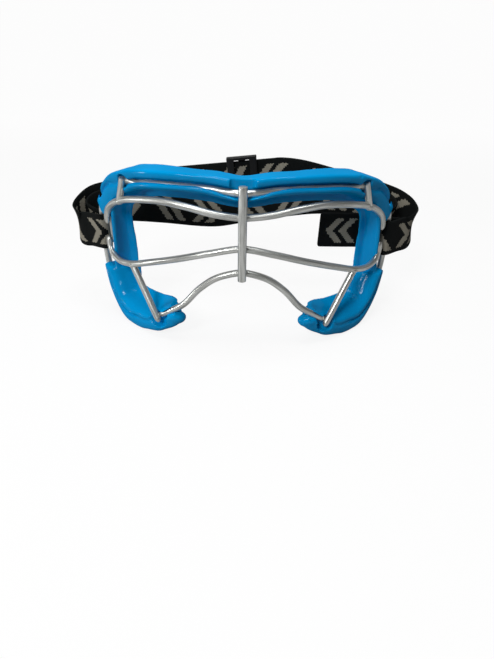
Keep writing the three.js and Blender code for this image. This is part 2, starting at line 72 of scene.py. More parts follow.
def onSide(point, side):  # mirrored where the side is -1
    return np.asarray(point) * [side, 1.0, 1.0]


def smoothStep(x, a, b):
    t = min(max((x - a) / (b - a), 0.0), 1.0)
    return t * t * (3 - 2 * t)


def tableAt(table, spot):  # a soft curve through (place, value) pairs
    for a, b in zip(table, table[1:]):
        if spot <= b[0] or b is table[-1]:
            return a[1] + (b[1] - a[1]) * smoothStep(spot, a[0], b[0])


class Route:  # a centripetal spline through points, walked by length
    def __init__(self, points, perSpan=24):
        pts = [np.asarray(p, float) for p in points]
        pts = [2 * pts[0] - pts[1], *pts, 2 * pts[-1] - pts[-2]]
        dense = []
        for i in range(1, len(pts) - 2):
            p0, p1, p2, p3 = pts[i - 1:i + 3]
            spans = (p1 - p0, p2 - p1, p3 - p2)
            d0, d1, d2 = [max(float(np.linalg.norm(span)), 1e-6) ** 0.5 for span in spans]
            t1 = ((p1 - p0) / d0 - (p2 - p0) / (d0 + d1) + (p2 - p1) / d1) * d1
            t2 = ((p2 - p1) / d1 - (p3 - p1) / (d1 + d2) + (p3 - p2) / d2) * d1
            square, cube = 3 * (p2 - p1) - 2 * t1 - t2, 2 * (p1 - p2) + t1 + t2
            for k in range(perSpan):
                t = k / perSpan
                dense.append(p1 + t1 * t + square * t * t + cube * t ** 3)
        dense.append(pts[-2])
        self.dense = np.array(dense)
        steps = np.linalg.norm(np.diff(self.dense, axis=0), axis=1)
        self.run = np.concatenate([[0.0], np.cumsum(steps)])
        self.length = float(self.run[-1])

    def at(self, share):
        s = min(max(share, 0.0), 1.0) * self.length
        return np.array([np.interp(s, self.run, self.dense[:, k]) for k in range(3)])

    def along(self, share):
        d = 0.4 / self.length
        return unit(self.at(share + d) - self.at(share - d))

    def nearest(self, point):
        away = np.linalg.norm(self.dense - np.asarray(point), axis=1)
        return float(self.run[np.argmin(away)] / self.length)


def fullRoute(shares):  # from the left end over the middle to the right end
    right = [place(share) for share in shares]
    return Route([onSide(point, -1) for point in right[:0:-1]] + right)


def frameOn(route, share):
    point, along = route.at(share), route.along(share)
    front = frontAt(point[0])
    front = unit(front - along * front.dot(along))
    return point, along, front, unit(np.cross(front, along))


def toWorld(points):
    return (np.asarray(points, float) + face["shift"]) / 1000.0


def linked(name, data):
    obj = bpy.data.objects.new(name, data)
    scene.collection.objects.link(obj)
    return obj


def meshObject(name, points, faces=(), edges=(), **vectors):  # vectors are named attributes
    mesh = bpy.data.meshes.new(name)
    mesh.from_pydata(toWorld(points).tolist(), edges, faces)
    for key, values in vectors.items():
        layer = mesh.attributes.new(key, "FLOAT_VECTOR", "POINT")
        layer.data.foreach_set("vector", np.asarray(values, "f").ravel())
    return linked(name, mesh)


def edited(obj, work):  # runs a function on the object's mesh as a bmesh
    bm = bmesh.new()
    bm.from_mesh(obj.data)
    work(bm)
    bm.to_mesh(obj.data)
    bm.free()
    return obj


def outwards(obj):  # turns a closed mesh inside out if its volume is negative
    def turn(bm):
        if bm.calc_volume(signed=True) < 0:
            bmesh.ops.reverse_faces(bm, faces=bm.faces)
    return edited(obj, turn)


def loft(name, rings, **vectors):  # a closed skin over rings of points
    rings = np.asarray(rings)
    count, sides = rings.shape[:2]
    faces = []
    for low in range(0, (count - 1) * sides, sides):
        high = low + sides
        for s in range(sides):
            after = (s + 1) % sides
            faces.append((low + s, low + after, high + after, high + s))
    faces += [tuple(range(sides))[::-1], tuple(range((count - 1) * sides, count * sides))]
    return outwards(meshObject(name, rings.reshape(-1, 3), faces, **vectors))


def applied(obj):  # the evaluated object as a plain mesh, with no modifier left
    graph = bpy.context.evaluated_depsgraph_get()
    mesh = bpy.data.meshes.new_from_object(obj.evaluated_get(graph))
    obj.modifiers.clear()
    old, obj.data = obj.data, mesh
    bpy.data.meshes.remove(old)
    return obj


def modified(obj, kind, **settings):
    modifier = obj.modifiers.new(kind.lower(), kind)
    for key, value in settings.items():
        setattr(modifier, key, value)
    return obj


def bevelled(obj, width, segments, angle):
    return applied(modified(obj, "BEVEL", width=width, segments=segments, limit_method="ANGLE",
                            angle_limit=math.radians(angle)))


def shadeSmooth(obj, angle=180):  # smooth, with edges sharper than the angle left hard
    obj.data.polygons.foreach_set("use_smooth", [True] * len(obj.data.polygons))

    def sharpen(bm):
        limit = math.radians(angle)
        for edge in bm.edges:
            edge.smooth = len(edge.link_faces) < 2 or edge.calc_face_angle(0) < limit
    return edited(obj, sharpen) if angle < 180 else obj


# Node trees, with shader maths as plain expressions
class Sock:
    def __init__(self, graph, socket):
        self.graph, self.socket = graph, socket

    def maths(self, operation, *others):
        inputs = dict(enumerate([self, *others]))
        return self.graph.add("ShaderNodeMath", inputs, operation=operation)

    def __add__(self, o): return self.maths("ADD", o)
    def __mul__(self, o): return self.maths("MULTIPLY", o)
    def __sub__(self, o): return self.maths("SUBTRACT", o)
    def __truediv__(self, o): return self.maths("DIVIDE", o)
    def __radd__(self, o): return self + o
    def __rmul__(self, o): return self * o
    def __rsub__(self, o): return self * -1.0 + o
    def __lt__(self, o): return self.maths("LESS_THAN", o)
    def __gt__(self, o): return self.maths("GREATER_THAN", o)
    def floor(self): return self.maths("FLOOR")
    def part(self): return self.maths("FRACT")
    def size(self): return self.maths("ABSOLUTE")
    def wave(self): return self.maths("SINE")
    def high(self, o): return self.maths("MAXIMUM", o)

    def ease(self, low, high):
        inputs = {"Value": self, "From Min": low, "From Max": high}
        return self.graph.add("ShaderNodeMapRange", inputs, interpolation_type="SMOOTHSTEP")


class Graph:
    def __init__(self, tree):
        self.tree = tree

    def add(self, kind, inputs=None, out=0, **settings):
        node = self.last = self.tree.nodes.new(kind)
        for key, value in settings.items():
            setattr(node, key, value)
        for key, value in (inputs or {}).items():
            self.feed(node.inputs[key], value)
        return Sock(self, node.outputs[out]) if len(node.outputs) else None

    def feed(self, socket, value):
        if isinstance(value, Sock):
            self.tree.links.new(value.socket, socket)
        else:
            socket.default_value = value

    def mix(self, a, b, factor):
        a, b = [(*c, 1.0) if isinstance(c, tuple) else c for c in (a, b)]
        return self.add("ShaderNodeMix", {0: factor, 6: a, 7: b}, 2, data_type="RGBA")

    def noise(self, at, scale, detail=2.0):
        return self.add("ShaderNodeTexNoise", {"Vector": at, "Scale": scale, "Detail": detail})

    def split(self, vector):
        self.add("ShaderNodeSeparateXYZ", {0: vector})
        return [Sock(self, o) for o in self.last.outputs]

    def bump(self, height, distance, strength):
        inputs = {"Height": height, "Distance": distance, "Strength": strength}
        return self.add("ShaderNodeBump", inputs)

    def stored(self, key, out="Fac"):  # a mesh attribute, in a shader
        return self.add("ShaderNodeAttribute", out=out, attribute_name=key)

    def named(self, key):  # a mesh attribute, in a geometry tree
        kind = "GeometryNodeInputNamedAttribute"
        return self.add(kind, {"Name": key}, data_type="FLOAT_VECTOR")

    def vector(self, operation, a, b, out="Vector"):
        return self.add("ShaderNodeVectorMath", {0: a, 1: b}, out, operation=operation)

    def scaled(self, a, factor):
        return self.add("ShaderNodeVectorMath", {0: a, "Scale": factor}, operation="SCALE")


def finish(name, build):  # a material whose build function gives the sockets of its shader
    material = bpy.data.materials.new(name)
    material.use_nodes = True
    graph = Graph(material.node_tree)
    shader = material.node_tree.nodes["Principled BSDF"]
    for key, value in build(graph).items():
        graph.feed(shader.inputs[key], value)
    return material


def objectPlace(g):
    return g.add("ShaderNodeTexCoord", out="Object")


def geometryTree(name, **inputs):  # the graph of a Geometry Nodes tree and its named inputs
    tree = bpy.data.node_groups.new(name, "GeometryNodeTree")
    add = tree.interface.new_socket
    add("Geometry", in_out="INPUT", socket_type="NodeSocketGeometry")
    for key, value in inputs.items():
        kind = "NodeSocketInt" if isinstance(value, int) else "NodeSocketFloat"
        add(key, in_out="INPUT", socket_type=kind).default_value = value
    add("Paint", in_out="INPUT", socket_type="NodeSocketMaterial")
    add("Geometry", in_out="OUTPUT", socket_type="NodeSocketGeometry")
    graph = Graph(tree)
    graph.add("NodeGroupInput")
    return graph, {o.name: Sock(graph, o) for o in graph.last.outputs if o.name}


def closeTree(g, geometry, paint):
    smooth = g.add("GeometryNodeSetShadeSmooth", {0: geometry, "Shade Smooth": True})
    real = g.add("GeometryNodeRealizeInstances", {0: smooth})
    painted = g.add("GeometryNodeSetMaterial", {0: real, "Material": paint})
    g.add("NodeGroupOutput", {0: painted})
    return g.tree


def runTree(obj, tree, **values):
    modifier = obj.modifiers.new(tree.name, "NODES")
    modifier.node_group = tree
    names = {s.name: s.identifier for s in tree.interface.items_tree if s.in_out == "INPUT"}
    for key, value in values.items():
        modifier[names[key]] = value
    return applied(obj)


# Finishes. Roughness is its least and what a noise adds, bump its depth and strength, and
# plain holds the sockets that keep one value.
paintLook = {
    "light": (0.78, 0.79, 0.76),
    "dark": (0.36, 0.37, 0.35),
    "roughness": (0.28, 0.16),
    "fleckSize": 5200.0,
    "fleckShare": 0.25,
    "contrast": (0.3, 0.66),
    "streakLong": 70.0,
    "streakAround": 2.6,
    "bumpFleck": 0.2,
    "bump": (0.00007, 0.7),
    "plain": {"Metallic": 0.8},
}
gasketLook = {
    "colour": (0.0, 0.322, 0.72),
    "deep": (0.0, 0.288, 0.645),
    "roughness": (0.1, 0.1),
    "broadSize": 22.0,
    "broadRange": (0.35, 0.7),
    "fineSize": 900.0,
    "waveSize": 160.0,
    "bump": (0.00006, 0.3),
    "plain": {"Coat Weight": 0.07, "Coat Roughness": 0.1, "Coat IOR": 2.2,
              "Specular IOR Level": 0.0},
}
webLook = {
    "black": (0.003, 0.004, 0.004),
    # painted light and shade of the ribs: black and grey are painted lighter on the rib crests and
    # darker in the grooves between them, with ribEdge and ribGrey setting the grey's share
    "blackLitCrest": (0.007, 0.0085, 0.0085),
    "grey": (0.37, 0.345, 0.28),
    "greyShadedGroove": (0.23, 0.215, 0.175),
    "ribPitch": 0.78,
    "rowPitch": 0.62,
    "cellLong": 0.95,
    "cellWide": 0.78,
    "motifHalf": 8.4,
    "motifUp": 0.3,
    "repeat": 58.0,
    "barSlant": 0.7,
    "bars": (6.0, 20.5, 8.8, 0.6),  # start, end, pitch and the share that is grey
    "chevronSlant": 0.85,
    "chevrons": (37.5, 52.0, 9.0, 0.58),
    "fuzzSize": 1800.0,
    "fuzz": 0.4,
    "ribEdge": (0.1, 0.75),
    "ribGrey": 0.7,
    "roughness": (0.82, 0.1),
    "heights": (0.7, 0.3, 0.5, 0.3),  # of rib, row, motif and fuzz
    "bump": (0.00022, 0.8),
    "plain": {"Specular IOR Level": 0.12},
}
slideLook = {
    "colour": (0.004, 0.0045, 0.005),
    "roughness": (0.38, 0.14),
    "roughSize": 400.0,
    "grainSize": 1500.0,
    "bump": (0.00003, 0.5),
    "plain": {"Specular IOR Level": 0.25},
}
threadLook = {"dark": 0.01, "light": 0.03, "size": 3000.0, "roughness": 0.7}


def surface(g, look, colour, noise, height):  # what most finishes share
    least, added = look["roughness"]
    return {
        "Base Color": colour,
        "Roughness": noise * added + least,
        "Normal": g.bump(height, *look["bump"]),
        **look["plain"],
    }


def paintNodes(g):
    look = paintLook
    turn = g.stored("around") * (2 * math.pi)
    grain = g.add("ShaderNodeCombineXYZ", {
        0: g.stored("run") * look["streakLong"],
        1: turn.wave() * look["streakAround"],
        2: (turn + math.pi / 2).wave() * look["streakAround"],
    })
    streak = g.noise(grain, 1.0, 3.0)
    fleck = g.noise(objectPlace(g), look["fleckSize"], 1.0)
    grey = streak * (1 - look["fleckShare"]) + fleck * look["fleckShare"]
    height = streak * (1 - look["bumpFleck"]) + fleck * look["bumpFleck"]
    colour = g.mix(look["dark"], look["light"], grey.ease(*look["contrast"]))
    return surface(g, look, colour, streak, height)


def gasketNodes(g):
    look = gasketLook
    at = objectPlace(g)
    broad, fine = g.noise(at, look["broadSize"]), g.noise(at, look["fineSize"])
    colour = g.mix(look["colour"], look["deep"], broad.ease(*look["broadRange"]))
    return surface(g, look, colour, fine + broad, g.noise(at, look["waveSize"]))


def stripes(way, motif):
    start, end, pitch, share = motif
    return (((way - start) / pitch).part() < share) * (way > start) * (way < end)


def webNodes(g):
    look = webLook
    long, wide, _ = g.split(g.stored("bandPlace", "Vector"))
    # the motif is woven in cells, and every other column lies half a cell higher
    column = (long / look["cellLong"]).floor()
    odd = (column * 0.5).part() * 2.0
    across = (wide / look["cellWide"] + odd * 0.5).floor() * look["cellWide"] + look["motifUp"]
    # slanted bars in the first half of each repeat, nested chevrons in the second
    cycle = (column * look["cellLong"] / look["repeat"]).part() * look["repeat"]
    bars = stripes(cycle + across * look["barSlant"], look["bars"])
    chevrons = stripes(cycle + across.size() * look["chevronSlant"], look["chevrons"])
    motif = bars.high(chevrons) * (across.size() < look["motifHalf"])
    ribs = long / look["ribPitch"]
    rib = (ribs.part() - 0.5).size() * 2.0
    row = ((wide / look["rowPitch"] + ribs.floor() * 0.5).part() - 0.5).size() * 2.0
    fuzz = g.noise(objectPlace(g), look["fuzzSize"])
    # the colour follows the ribs' height: painted shade in their grooves and painted light on their
    # crests; the fuzz noise is the yarn's own random tone
    black = g.mix(look["black"], look["blackLitCrest"], rib * (1 - look["fuzz"]) + fuzz * look["fuzz"])
    grey = g.mix(look["greyShadedGroove"], look["grey"],
                 rib.ease(*look["ribEdge"]) * look["ribGrey"] + fuzz * look["fuzz"])
    ribHigh, rowHigh, motifHigh, fuzzHigh = look["heights"]
    height = rib.ease(0.0, 1.0) * ribHigh + row * rowHigh + motif * motifHigh + fuzz * fuzzHigh
    return surface(g, look, g.mix(black, grey, motif), fuzz, height)


def slideNodes(g):
    at, look = objectPlace(g), slideLook
    rough, grain = g.noise(at, look["roughSize"]), g.noise(at, look["grainSize"])
    return surface(g, look, (*look["colour"], 1.0), rough, grain)


def threadNodes(g):
    noise = g.noise(objectPlace(g), threadLook["size"])
    return {
        "Base Color": g.mix((threadLook["dark"],) * 3, (threadLook["light"],) * 3, noise),
        "Roughness": threadLook["roughness"],
    }


wirePaint = finish("wirePaint", paintNodes)
gasketBlue = finish("gasketBlue", gasketNodes)
strapWeb = finish("strapWeb", webNodes)
slidePlastic = finish("slidePlastic", slideNodes)
strapThread = finish("strapThread", threadNodes)
print("finishes made")

# The cage
cage = {
    "wireRadius": 2.05,
    "wireSides": 24,
    "domeRings": [0.0, 0.05, 0.15, 0.3, 0.5, 0.75],
    "pressedHalves": (2.9, 1.4),  # of width and thickness
    "pressedLength": 15.0,
    "pressedTip": 0.3,
    "barRadius": 2.5,
    "barOver": 4.72,
    "barUnder": 2.98,
    "barCut": 0.00025,
    "touchGap": 0.3,
    "outer": [
        (0, 0, 0.898), (0.19, 0.06, 0.925), (0.35, 0.115, 0.937), (0.53, 0.21, 0.938),
        (0.68, 0.4, 0.92), (0.78, 0.58, 0.885), (0.9, 0.85, 0.82), (0.985, 1.04, 0.745),
        (1.046, 1.19, 0.675), (1.06, 1.22, 0.6), (1.06, 1.22, 0.5), (1.06, 1.22, 0.4),
        (1.045, 1.17, 0.3), (1, 1.02, 0.18), (0.94, 0.86, 0.105), (0.86, 0.66, 0.068),
        (0.74, 0.44, 0.075), (0.655, 0.3, 0.108),
    ],
    "upper": [(0, 0.772), (0.175, 0.786), (0.35, 0.815), (0.51, 0.829), (0.655, 0.817),
              (0.834, 0.775), (0.935, 0.717), (0.99, 0.65), (1, 0.588)],
    "middle": [(0, 0.603), (0.205, 0.574), (0.41, 0.528), (0.64, 0.465), (0.78, 0.418),
               (0.893, 0.394), (0.97, 0.41), (1, 0.45), (1, 0.513)],
    "nose": [(0, 0.468), (0.105, 0.452), (0.188, 0.424), (0.29, 0.358), (0.402, 0.252),
             (0.507, 0.19), (0.585, 0.147)],
    "post": [(0.79, 0.52, 0.905), (0.838, 0.61, 0.772), 2.0],
    "strut": [(0.78, 0.5, 0.412), (0.6, 0.17, 0.133), 2.1],
    "temple": [0.635, 0.475, 1.2],
    # how low the wire lies in the brow's groove
    "browDrop": [(0, 0.3), (0.05, 0.8), (0.16, 2.1), (0.3, 2.9), (0.4, 3.2), (0.65, 3.1),
                 (0.72, 0.4), (0.8, 0), (1, 0)],
    "browRow": 8,  # the row of outer where the brow ends
    "browFrom": 0.6,  # the share of the height that it ends at
    "strapRow": 9,
}
routes = {key: fullRoute(cage[key]) for key in ("outer", "upper", "middle", "nose")}


def tubeTree():  # a round tube along a path, squeezed towards its own front where the path says so
    g, given = geometryTree("tube along a path", Radius=0.002, Sides=24)

    def kept(curve, key, out):
        value = g.add("GeometryNodeSplineParameter", out=out)
        inputs = {"Geometry": curve, "Name": key, "Value": value}
        return g.add("GeometryNodeStoreNamedAttribute", inputs, data_type="FLOAT")

    path = kept(g.add("GeometryNodeMeshToCurve", {0: given["Geometry"]}), "run", "Length")
    circle = g.add("GeometryNodeCurvePrimitiveCircle",
                   {"Resolution": given["Sides"], "Radius": given["Radius"]})
    ring = kept(circle, "around", "Factor")
    tube = g.add("GeometryNodeCurveToMesh",
                 {"Curve": path, "Profile Curve": ring, "Fill Caps": True})
    spine, front = g.named("spine"), g.named("front")
    wide, thick, _ = g.split(g.named("squeeze"))
    off = g.vector("SUBTRACT", g.add("GeometryNodeInputPosition"), spine)
    forward = g.scaled(front, g.vector("DOT_PRODUCT", off, front, "Value"))
    aside = g.vector("SUBTRACT", off, forward)
    offset = g.vector("ADD", g.scaled(forward, thick), g.scaled(aside, wide))
    moved = g.add("GeometryNodeSetPosition",
                  {"Geometry": tube, "Position": g.vector("ADD", spine, offset)})
    return closeTree(g, moved, given["Paint"])


tubeAlong = tubeTree()


def dome(toEnd, reach, least):  # the share of its width that a rounded end has
    return math.sqrt(max(1 - (1 - min(toEnd / reach, 1.0)) ** 2, least))


def tube(name, route, radius, steps, sizeAt=None, domed=True):
    shares = np.linspace(0, 1, steps + 1)
    if domed:  # more rings where the ends round off
        edge = radius / route.length
        close = edge * np.array(cage["domeRings"])
        middle = shares[(shares > edge) & (shares < 1 - edge)]
        shares = np.unique(np.concatenate([close, middle, 1 - close]))
    points, fronts, sizes = [], [], []
    for share in shares:
        point, along, front, out = frameOn(route, share)
        toEnd = min(share, 1 - share) * route.length
        wide, thick = sizeAt(toEnd) if sizeAt else (1.0, 1.0)
        if domed:
            cap = dome(toEnd, radius * wide, least=0.0004)
            wide, thick = wide * cap, thick * max(cap, cage["pressedTip"] if sizeAt else 0)
        points.append(point)
        fronts.append(front)
        sizes.append((wide, thick, 0))
    chain = [(i, i + 1) for i in range(len(points) - 1)]
    obj = meshObject(name, points, edges=chain, front=fronts, squeeze=sizes, spine=toWorld(points))
    runTree(obj, tubeAlong, Radius=radius / 1000, Sides=cage["wireSides"], Paint=wirePaint)
    return outwards(obj)


def pressed(toEnd):
    flat = 1 - smoothStep(toEnd, cage["pressedLength"] / 2, cage["pressedLength"])
    return [1 + flat * (half / cage["wireRadius"] - 1) for half in cage["pressedHalves"]]


def barBetween(name, ends, radius, steps=12, domed=False):
    route = Route([ends[0], (ends[0] + ends[1]) / 2, ends[1]])
    return tube(name, route, radius, steps, domed=domed)


def shown(piece, body, slotName, *nodes):
    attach(piece, body)
    if nodes:
        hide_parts(*nodes)
    return piece


def wireShown(piece, *nodes):
    shown(piece, "goggles", "painted_wire", *nodes)


def browDrop(point):
    share = min(abs(point[0]) / place(cage["outer"][cage["browRow"]])[0], 1)
    return tableAt(cage["browDrop"], share) * (point[2] > face["height"] * cage["browFrom"])


browPoints = routes["outer"].dense[::8]
browWire = Route(browPoints - [(0, 0, browDrop(p)) for p in browPoints], perSpan=4)
for name, route, steps, sizeAt, node in (
        ("outerWire", browWire, 300, None, "perimeter_wire"),
        ("upperWire", routes["upper"], 200, pressed, "upper_eye_wire"),
        ("middleWire", routes["middle"], 200, pressed, "middle_wire"),
        ("noseWire", routes["nose"], 160, None, "nose_arch_wire")):
    wireShown(tube(name, route, cage["wireRadius"], steps, sizeAt), node)

barFront = -(cage["wireRadius"] + cage["barRadius"] + cage["touchGap"])
barLow = np.array([0, barFront, place(cage["nose"][0])[2] - cage["barUnder"]])
barHigh = np.array([0, barFront, place(cage["outer"][0])[2] + cage["barOver"]])
centreBar = barBetween("centreBar", (barLow, barHigh), cage["barRadius"])
bevelled(centreBar, cage["barCut"], segments=2, angle=50)
wireShown(shadeSmooth(centreBar, angle=40), "centre_bar")

# Weld beads: sizes are half sizes, the first along the bead
weld = {
    "aside": 1.9,
    "asideSizes": (1.6, 2.0, 1.5),
    "jointBack": {"upper": 0.4, "middle": 0.2},
    "jointSizes": (2.8, 2.4, 2.1),
    "footSizes": (2.4, 2.0, 1.9),
    "footUp": 1.4,
    "footUpSizes": (1.6, 2.0, 1.7),
    "templeShare": 0.6,
    "templeSizes": (1.5, 1.5, 1.3),
    "barBeside": (1.9, -0.9),
    "besideSizes": (2.3, 1.5, 1.75),
    "browSizes": (4.2, 1.5, 1.75),
    "barBefore": (1.3, -2.0),
    "beforeSizes": (1.4, 1.2, 1.5),
    "lumps": 0.12,
    "lumpSize": 900.0,
    "lumpReach": 0.004,
    "seed": 3.0,
}
beads = []  # place, half sizes, direction of the first half size


def bead(at, sizes, along=(1, 0, 0)):
    beads.append((at, sizes, unit(np.asarray(along, float))))


def barEnds(kind, side):  # the top and the foot of a post or a strut
    return [onSide(place(share), side) for share in cage[kind][:2]]


def templeBehind(height, side, back):  # a place behind the pressed ends of the eye wires
    return onSide(place((1, height)) + frontAt(face["halfWidth"]) * back, side)


templeBack = -(cage["pressedHalves"][1] + cage["temple"][2] + cage["touchGap"])
for side, word in ((-1, "left"), (1, "right")):
    post, strut = barEnds("post", side), barEnds("strut", side)
    wireShown(barBetween(word + "Post", post, cage["post"][2]), word + "_corner_post")
    wireShown(barBetween(word + "Strut", strut, cage["strut"][2]), word + "_cheek_strut")
    temple = [templeBehind(height, side, templeBack) for height in cage["temple"][:2]]
    templeBar = barBetween(word + "TempleBar", temple, cage["temple"][2], steps=20, domed=True)
    wireShown(templeBar, word + "_temple_bar")
    # welds: the post on the eye wire, the strut on both its wires, and the temple bar's ends
    postWay, strutWay = unit(post[0] - post[1]), unit(strut[0] - strut[1])
    for wire, at, way in (("upper", post[1], postWay), ("middle", strut[0], strutWay)):
        along = routes[wire].along(routes[wire].nearest(at))
        for aside in (1, -1):
            bead(at + along * aside * weld["aside"], weld["asideSizes"], along)
        bead(at - way * weld["jointBack"][wire], weld["jointSizes"], along)
    bead(strut[1], weld["footSizes"], strutWay)
    bead(strut[1] + strutWay * weld["footUp"], weld["footUpSizes"])
    for height in cage["temple"][:2]:
        at = templeBehind(height, side, templeBack * weld["templeShare"])
        bead(at, weld["templeSizes"], (0, 0, 1))
for wire, route in routes.items():  # and each wire behind the centre bar
    isBrow = wire == "outer"
    height = place(cage[wire][0])[2] - (cage["browDrop"][0][1] if isBrow else 0)
    beside = weld["browSizes" if isBrow else "besideSizes"]
    for side in (-1, 1):
        along = route.along(0.5 + side * 0.002)
        bead(onSide((*weld["barBeside"], height), side), beside, along)
        bead(onSide((*weld["barBefore"], height), side), weld["beforeSizes"])


def beadTree():  # lumps of weld on points, each with its own sizes and direction
    g, given = geometryTree("weld beads", Lumps=0.12, Seed=3.0)
    ball = g.add("GeometryNodeMeshIcoSphere", {"Radius": 1.0, "Subdivisions": 3})
    placed = g.add("GeometryNodeInstanceOnPoints", {
        "Points": given["Geometry"], "Instance": ball,
        "Rotation": g.named("turn"), "Scale": g.named("sizes")})
    real = g.add("GeometryNodeRealizeInstances", {0: placed})
    lump = g.add("ShaderNodeTexNoise", {
        "Vector": g.add("GeometryNodeInputPosition"), "W": given["Seed"],
        "Scale": weld["lumpSize"], "Detail": 2.0}, noise_dimensions="4D")
    push = (lump - 0.5) * given["Lumps"] * weld["lumpReach"]
    moved = g.add("GeometryNodeSetPosition", {
        "Geometry": real, "Offset": g.scaled(g.add("GeometryNodeInputNormal"), push)})
    return closeTree(g, moved, given["Paint"])


beadPlaces, beadSizes, beadWays = zip(*beads)
beadTurns = [tuple(Vector(way).to_track_quat("X", "Z").to_euler()) for way in beadWays]
welds = meshObject("welds", beadPlaces, sizes=np.array(beadSizes) / 1000, turn=beadTurns)
runTree(welds, beadTree(), Lumps=weld["lumps"], Seed=weld["seed"], Paint=wirePaint)
wireShown(welds)
print("cage made")

# The gasket: lofted lips and walls, cut for the bars, then run together as one moulding
gasket = {
    "lipFront": 3.3,
    "lipRound": 1.5,
    "ridge": 0.8,
    "browOuter": 8.4,
    "browInner": 6.4,
    "browDepth": 11.0,
    "browFlange": 4.6,
    "browFlangeThickness": 2.4,
    "browTopRise": 1.1,
    "lipEdge": 0.55,
    "wall": 3.0,
    "wallHollow": 1.5,
    "wallEnd": 0.62,
    "rimReach": 4.6,
    "rimLean": 0.37,
    "rim": 2.0,
    "cheekOuter": 7.6,
    "cheekDepth": 8.0,
    "cheekBack": 2.6,
    "cheekStart": 0.43,
    "cheekBulgeAt": [(0, 8.0), (0.2, 6.8), (0.45, 4.6), (1, 3.2)],
    "groove": 0.85,
    "grooveAt": [(0, 3.5), (0.07, 2.7), (0.14, 1.8), (0.22, 1.35), (0.64, 1.25), (0.68, 0.7),
                 (0.8, 0.9), (1, 1)],
    "browFloorAt": [(0, -1), (0.64, -1), (0.69, 2.3), (0.76, 2.1), (0.83, 1.5), (1, 1.0)],
    "browSeamAt": [(0, -0.3), (0.18, -0.2), (0.35, -0.9), (0.64, -1.1), (0.71, 0.3), (0.8, 2.6),
                   (1, 3.2)],
    "browOuterAt": [(0, 0.88), (0.27, 0.6), (0.5, 0.6), (0.6, 0.7), (0.75, 0.86), (0.85, 0.8),
                    (0.93, 0.5), (1, 0.2)],
    "browInnerAt": [(0, 0.75), (0.14, 0.85), (0.45, 1), (0.72, 1.15), (0.88, 1.2), (1, 1.2)],
    "browFlangeAt": [(0, 1.35), (0.2, 1.5), (0.5, 1.35), (0.7, 1.1), (1, 1)],
    "browAsideAt": [(0, 0), (0.84, 0), (1, -1.6)],
    "cheekGrooveAt": [(0, 0.7), (0.74, 0.7), (0.81, 1.3), (0.87, 2.2), (1, 2.6)],
    "cheekFloorAt": [(0, 2.6), (0.1, 2.0), (0.18, 1.3), (0.56, 1.3), (0.64, 2.5), (0.76, 2.5),
                     (0.82, -1), (1, -1)],
    "cheekSeamAt": [(0, -1.2), (0.15, -2.3), (0.6, -2.3), (0.75, 0), (1, 0)],
    "browRiseAt": [(0, 0), (0.23, 0.1), (0.5, 1), (0.68, 1), (0.9, 0), (1, 0)],
    "cheekOuterAt": [(0, 0.4), (0.2, 0.58), (0.5, 0.66), (0.66, 0.8), (0.82, 1.15), (0.94, 1.3),
                     (1, 1.15)],
    "rimAt": [(0, 0.3), (0.12, 0.8), (0.3, 1), (0.5, 1), (0.7, 0.3), (1, 0.1)],
    "rightAsideAt": [(0, 1.4), (0.3, 2.2), (0.5, 2.4), (0.75, 1.2), (1, 0)],
    "padSurface": [(0.08, 0.3), (0.22, 0.75), (0.4, 0.95), (0.6, 0.92), (0.8, 0.62), (0.93, 0.25)],
    "cheekRoute": [
        (1.05, 1.18, 0.315), (1, 1.02, 0.18), (0.94, 0.86, 0.105), (0.86, 0.66, 0.068),
        (0.74, 0.44, 0.075), (0.64, 0.28, 0.115), (0.55, 0.19, 0.16), (0.47, 0.13, 0.21),
    ],
    "wallFront": [
        (0.89, 0.8, 0.775), (0.93, 0.885, 0.69), (0.945, 0.93, 0.6), (0.95, 0.945, 0.51),
        (0.955, 0.955, 0.42), (0.965, 0.97, 0.33), (0.96, 0.93, 0.24), (0.92, 0.82, 0.165),
        (0.845, 0.64, 0.125), (0.735, 0.44, 0.14), (0.62, 0.3, 0.18), (0.52, 0.2, 0.225),
    ],
    "wallFace": [
        (0.8, 0.955, 0.72), (0.84, 1.055, 0.645), (0.86, 1.135, 0.565), (0.86, 1.16, 0.465),
        (0.855, 1.15, 0.38), (0.845, 1.115, 0.31), (0.83, 1.045, 0.25), (0.795, 0.945, 0.2),
        (0.72, 0.82, 0.182), (0.61, 0.64, 0.186), (0.53, 0.5, 0.205), (0.48, 0.36, 0.22),
    ],
    "recess": (7.2, 3.7, 5.2),
    "recessPower": 4,
    "recessUp": 5.4,
    "browEnd": (0.3, 3.5),  # where the rounding of an end starts, and its reach
    "cheekEnd": (0.6, 2.45),
    "lobe": (6.2, 4.6, 4.2),
    "lobeBack": 0.96,
    "lobeDown": 5.2,
    "notch": (3.7, 5.6, 3.5),
    "notchPower": 3,
    "notchAhead": 0.9,
    "notchUp": -1.5,
    "notchIn": 0.5,
    "dent": (4.8, 4.8, 4.2),
    "dentAhead": 6.9,
    "dentOut": 3.4,
    "mark": 1.0,  # a small pit that the mould left in the right lip
    "markAt": (0.783, 4.5, 3.6),
    "footPress": 0.5,
    "footReach": 16.0,
    "postRoom": 3.0,
    "strutRoom": 0.4,
    "pocket": (8.0, 4.5, 5.0),
    "voxel": 0.00052,
    "smoothing": 7,
    "browRings": 241,
    "wallRings": 71,
    "cheekRings": 111,
}


def softened(outline):  # cuts the corners of a closed outline, twice
    points = np.asarray(outline, float)
    for _ in range(2):
        nexts = np.roll(points, -1, axis=0)
        pairs = np.stack([points * 0.75 + nexts * 0.25, points * 0.25 + nexts * 0.75], 1)
        points = pairs.reshape(-1, points.shape[1])
    return points


